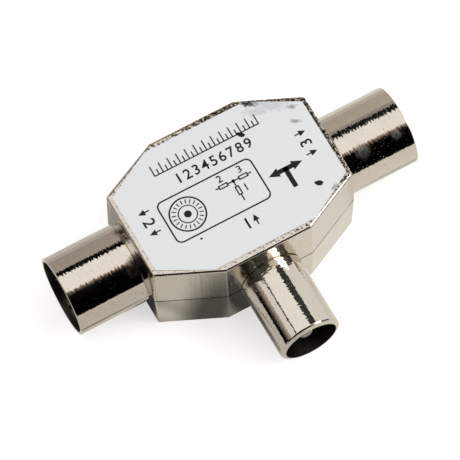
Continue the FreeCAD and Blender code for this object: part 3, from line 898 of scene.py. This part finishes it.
def keep_edge(line, corner=0.0):
    """Round the corners of the active flat shape and cut away all but a line along its edge."""
    bpy.ops.object.mode_set(mode="EDIT")
    bpy.ops.mesh.select_all(action="SELECT")
    if corner:
        bpy.ops.mesh.bevel(affect="VERTICES", offset=corner * MM, segments=CORNER_SEGMENTS)
    bpy.ops.mesh.inset(thickness=line * MM)
    bpy.ops.mesh.delete(type="FACE")
    bpy.ops.object.mode_set(mode="OBJECT")


def bar(x, y, width, height, turn=0.0):
    """Printed bar with its middle at x, y."""
    bpy.ops.object.select_all(action="DESELECT")
    bpy.ops.mesh.primitive_plane_add(size=MM)
    bpy.context.active_object.scale = (width, height, 1)
    print_shape(x, y, turn)


def framed(x, y, width, height, corner, line):
    """Printed rectangle with its middle at x, y. A corner of 0 stays sharp."""
    bpy.ops.object.select_all(action="DESELECT")
    bpy.ops.mesh.primitive_plane_add(size=MM)
    bpy.context.active_object.scale = (width, height, 1)
    bpy.ops.object.transform_apply()
    keep_edge(line, corner)
    print_shape(x, y)


def ring(x, y, radius, line):
    """Printed ring, or a disc where the line is as wide as the radius."""
    bpy.ops.object.select_all(action="DESELECT")
    bpy.ops.mesh.primitive_circle_add(vertices=RING_POINTS, radius=radius * MM, fill_type="NGON")
    if line < radius:
        keep_edge(line)
    print_shape(x, y)


def arrow(x, y, length, line, turn):
    """Printed arrow of a length along turn. Its narrow head makes it plain which way it points."""
    head = min(HEAD_LENGTH, length / 2) + line
    bpy.ops.object.select_all(action="DESELECT")
    bpy.ops.mesh.primitive_plane_add(size=MM)
    shaft = bpy.context.active_object
    shaft.scale = (length - head, line, 1)
    shaft.location.x = -head / 2 * MM
    bpy.ops.object.transform_apply()
    print_shape(x, y, turn)
    # The middle of a triangle lies two thirds of its height below its tip
    below_tip = head * 2 / 3
    bpy.ops.object.select_all(action="DESELECT")
    bpy.ops.mesh.primitive_circle_add(vertices=3, radius=below_tip * MM, fill_type="NGON",
                                      rotation=(0, 0, -math.pi / 2))
    bpy.ops.object.transform_apply()
    point = bpy.context.active_object
    point.scale.y = HEAD_NARROWED
    point.location.x = (length / 2 - below_tip) * MM
    bpy.ops.object.transform_apply()
    print_shape(x, y, turn)


def characters(text, x, y, height, turn=0.0):
    """Printed digits of a height, with their middle at x, y."""
    bpy.ops.object.select_all(action="DESELECT")
    bpy.ops.object.text_add()
    shape = bpy.context.active_object
    shape.data.body = text
    shape.data.offset = DIGIT_WEIGHT
    bpy.ops.object.convert(target="MESH")
    shape = bpy.context.active_object
    xs = [v.co.x for v in shape.data.vertices]
    ys = [v.co.y for v in shape.data.vertices]
    shape.location = (-(max(xs) + min(xs)) / 2, -(max(ys) + min(ys)) / 2, 0)
    bpy.ops.object.transform_apply()
    grow = height * MM / (max(ys) - min(ys))
    shape.scale = (grow, grow, 1)
    bpy.ops.object.transform_apply()
    print_shape(x, y, turn)


print("printing helpers ready")

# %% [markdown]
# The top of the label carries a plain scale: a row of long and short ticks over the numbers 1 to 9.
# One loop sets the ticks half a number apart, so every second one is long.

# %% Tick scale and its numbers
SCALE_MIDDLE = -0.15
HALF_STEPS = 12
TICK_PITCH = 1.4
TICK_LINE = 0.19
LONG_TICK, SHORT_TICK = 1.7, 0.9
TICK_FOOT = 6.38
LAST_NUMBER = 9
MIDDLE_NUMBER = 5
NUMBER_MIDDLE = 4.45
NUMBER_HEIGHT = 1.62

for half_step in range(-HALF_STEPS, HALF_STEPS + 1):
    tick = SHORT_TICK if half_step % 2 else LONG_TICK
    bar(SCALE_MIDDLE + half_step * TICK_PITCH / 2, TICK_FOOT + tick / 2, TICK_LINE, tick)
bar(SCALE_MIDDLE, TICK_FOOT, HALF_STEPS * TICK_PITCH + TICK_LINE, TICK_LINE)
for number in range(1, LAST_NUMBER + 1):
    number_x = SCALE_MIDDLE + (number - MIDDLE_NUMBER) * TICK_PITCH
    characters(str(number), number_x, NUMBER_MIDDLE, NUMBER_HEIGHT)
print("shapes so far:", len(print_shapes))

# %% [markdown]
# Below the scale a rounded frame holds two drawings that belong to such a part. The first is the
# end of a coaxial cable: jacket, braid, insulation and conductor, from the outside in.

# %% Frame and the end of a cable
FRAME_X, FRAME_Y = -3.09, -1.06
FRAME_WIDTH, FRAME_HEIGHT = 15.28, 7.21
FRAME_CORNER = 1.0
FRAME_LINE = 0.23
CABLE_X, CABLE_Y = -7.3, FRAME_Y
JACKET_RADIUS, JACKET_LINE = 2.75, 0.24
BRAID_RADIUS, BRAID_LENGTH, BRAID_LINE = 2.0, 0.62, 0.16
BRAID_WIRES = 20
INSULATION_RADIUS, INSULATION_LINE = 1.45, 0.17
CONDUCTOR_RADIUS = 0.55

framed(FRAME_X, FRAME_Y, FRAME_WIDTH, FRAME_HEIGHT, FRAME_CORNER, FRAME_LINE)
ring(CABLE_X, CABLE_Y, JACKET_RADIUS, JACKET_LINE)
ring(CABLE_X, CABLE_Y, INSULATION_RADIUS, INSULATION_LINE)
ring(CABLE_X, CABLE_Y, CONDUCTOR_RADIUS, CONDUCTOR_RADIUS)
for i in range(BRAID_WIRES):
    angle = 2 * math.pi * i / BRAID_WIRES
    bar(CABLE_X + BRAID_RADIUS * math.cos(angle), CABLE_Y + BRAID_RADIUS * math.sin(angle),
        BRAID_LENGTH, BRAID_LINE, angle)
print("shapes so far:", len(print_shapes))

# %% [markdown]
# The second drawing is the circuit inside the splitter: three equal resistors that meet in a star,
# one for each port. The two for the sockets lie left and right, and the plug's hangs below.

# %% Circuit of three resistors
STAR_X, STAR_Y = 0.75, 0.25
THIN_LINE = 0.2
STAR_DOT = 0.26
INNER_WIRE = 0.9
BOX_LENGTH, BOX_WIDTH = 1.5, 0.7
SIDE_BOX, SIDE_WIRE_MIDDLE, SIDE_WIRE = 1.6, 2.6, 0.5
LOW_BOX, LOW_WIRE_MIDDLE, LOW_WIRE = 1.65, 2.9, 1.0
BOX_NUMBER = 1.15
SIDE_NUMBER_ABOVE, LOW_NUMBER_BESIDE = 1.25, 1.15

for side, number in ((-1, "2"), (1, "3")):
    bar(STAR_X + side * INNER_WIRE / 2, STAR_Y, INNER_WIRE, THIN_LINE)
    framed(STAR_X + side * SIDE_BOX, STAR_Y, BOX_LENGTH, BOX_WIDTH, 0.0, THIN_LINE)
    bar(STAR_X + side * SIDE_WIRE_MIDDLE, STAR_Y, SIDE_WIRE, THIN_LINE)
    characters(number, STAR_X + side * SIDE_BOX, STAR_Y + SIDE_NUMBER_ABOVE, BOX_NUMBER)
bar(STAR_X, STAR_Y - INNER_WIRE / 2, THIN_LINE, INNER_WIRE)
framed(STAR_X, STAR_Y - LOW_BOX, BOX_WIDTH, BOX_LENGTH, 0.0, THIN_LINE)
bar(STAR_X, STAR_Y - LOW_WIRE_MIDDLE, THIN_LINE, LOW_WIRE)
characters("1", STAR_X + LOW_NUMBER_BESIDE, STAR_Y - LOW_BOX, BOX_NUMBER)
ring(STAR_X, STAR_Y, STAR_DOT, STAR_DOT)
print("shapes so far:", len(print_shapes))

# %% [markdown]
# Beside the frame is a bold drawing of one line that branches two ways. Each port has its number
# with arrows that show which way the signal runs, turned to be read from that port's side. Last come
# a few blots where ink or dirt has run: circles whose points are pushed in and out a little.

# %% Branch mark and port marks
BOLD_LINE = 0.72
BRANCH_X, BRANCH_Y = 8.1, -1.75
BRANCH_ARM = 2.7
BRANCH_STEM, STEM_BELOW = 3.5, 1.4
PORT_SIGN = 1.75
PORT_LINE = 0.2
SIGN_PITCH = 1.75
SOCKET_SIGN_Y = 0.4
PLUG_SIGN_X, PLUG_ARROW_X, PLUG_SIGN_Y = -0.65, 0.7, -6.5
# Each socket's sign: its place along X, its number, the turn of the number and the way of its arrows
SOCKET_SIGNS = ((-12.68, "2", -math.pi / 2, math.pi), (12.65, "3", math.pi / 2, 0.0))

arrow(BRANCH_X - BRANCH_ARM / 2, BRANCH_Y, BRANCH_ARM, BOLD_LINE, math.pi)
arrow(BRANCH_X + BRANCH_ARM / 2, BRANCH_Y, BRANCH_ARM, BOLD_LINE, 0.0)
bar(BRANCH_X, BRANCH_Y - STEM_BELOW, BOLD_LINE, BRANCH_STEM)
for x, number, turn, way in SOCKET_SIGNS:
    characters(number, x, SOCKET_SIGN_Y, PORT_SIGN, turn)
    arrow(x, SOCKET_SIGN_Y - SIGN_PITCH, PORT_SIGN, PORT_LINE, way)
    arrow(x, SOCKET_SIGN_Y + SIGN_PITCH, PORT_SIGN, PORT_LINE, way)
characters("1", PLUG_SIGN_X, PLUG_SIGN_Y, PORT_SIGN)
arrow(PLUG_ARROW_X, PLUG_SIGN_Y, PORT_SIGN, PORT_LINE, math.pi / 2)
print("shapes so far:", len(print_shapes))

# %% Blots
BLOT_POINTS = 20
BLOT_WAVE, BLOT_RIPPLE = 0.12, 0.08
# Each blot: middle, half length and width, and turn in degrees
BLOTS = (
    ((5.2, 6.1), (0.62, 0.36), -45),
    ((11.16, -6.0), (0.62, 0.40), -32),
    ((-7.45, -5.35), (0.20, 0.15), 10),
)

for (x, y), (length, width), turn in BLOTS:
    bpy.ops.object.select_all(action="DESELECT")
    bpy.ops.mesh.primitive_circle_add(vertices=BLOT_POINTS, radius=MM, fill_type="NGON")
    blot = bpy.context.active_object
    for i, vertex in enumerate(blot.data.vertices):
        push = 1 + BLOT_WAVE * math.sin(3 * i) + BLOT_RIPPLE * math.sin(5.3 * i)
        vertex.co.x *= length * push
        vertex.co.y *= width * push
    print_shape(x, y, math.radians(turn))
print("shapes in all:", len(print_shapes))

# %% [markdown]
# All the flat shapes are joined into one piece, because on the real label they are one layer from
# one pass of the press. A solidify modifier then gives it the thickness of a heavy coat of ink.

# %% Join the print
INK_THICKNESS = 0.012

bpy.ops.object.select_all(action="DESELECT")
for shape in print_shapes:
    shape.select_set(True)
bpy.context.view_layer.objects.active = print_shapes[0]
bpy.ops.object.join()
label_print = bpy.context.active_object
label_print.name = "label_print"
thickness = label_print.modifiers.new("ink", "SOLIDIFY")
thickness.thickness = INK_THICKNESS * MM
thickness.offset = 0
bpy.ops.object.modifier_apply(modifier=thickness.name)
label_print.data.materials.clear()
label_print.data.materials.append(printing_ink)
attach(label_print, "root")
print("print joined, faces:", len(label_print.data.polygons))

# %% [markdown]
# The other pieces keep the frame's own shape, because it is right as it stands. They only need
# their finish: plating on the casting and the contacts, paper on the label, and the plain finishes
# inside.

# %% Finishes for the pieces that stay
FINISHES = {
    "lower_shell": cast_nickel,
    "upper_shell": cast_nickel,
    "label": label_paper,
    "star_solder_joint": grey_solder,
}
PORT_FINISHES = {
    "_spring_ring": tinned_bronze_in_painted_shade,
    "_insulator": moulded_resin,
    "_receptacle": contact_nickel,
    "_resistor": lacquered_ceramic,
    "_resistor_leads": tinned_copper,
    "_solder_joint": grey_solder,
}
for port in ("left_out", "right_out", "in"):
    for ending, finish in PORT_FINISHES.items():
        if port + ending in nodes:
            FINISHES[port + ending] = finish
for name, finish in FINISHES.items():
    nodes[name].data.materials.clear()
    nodes[name].data.materials.append(finish)
print("finished nodes:", len(FINISHES))
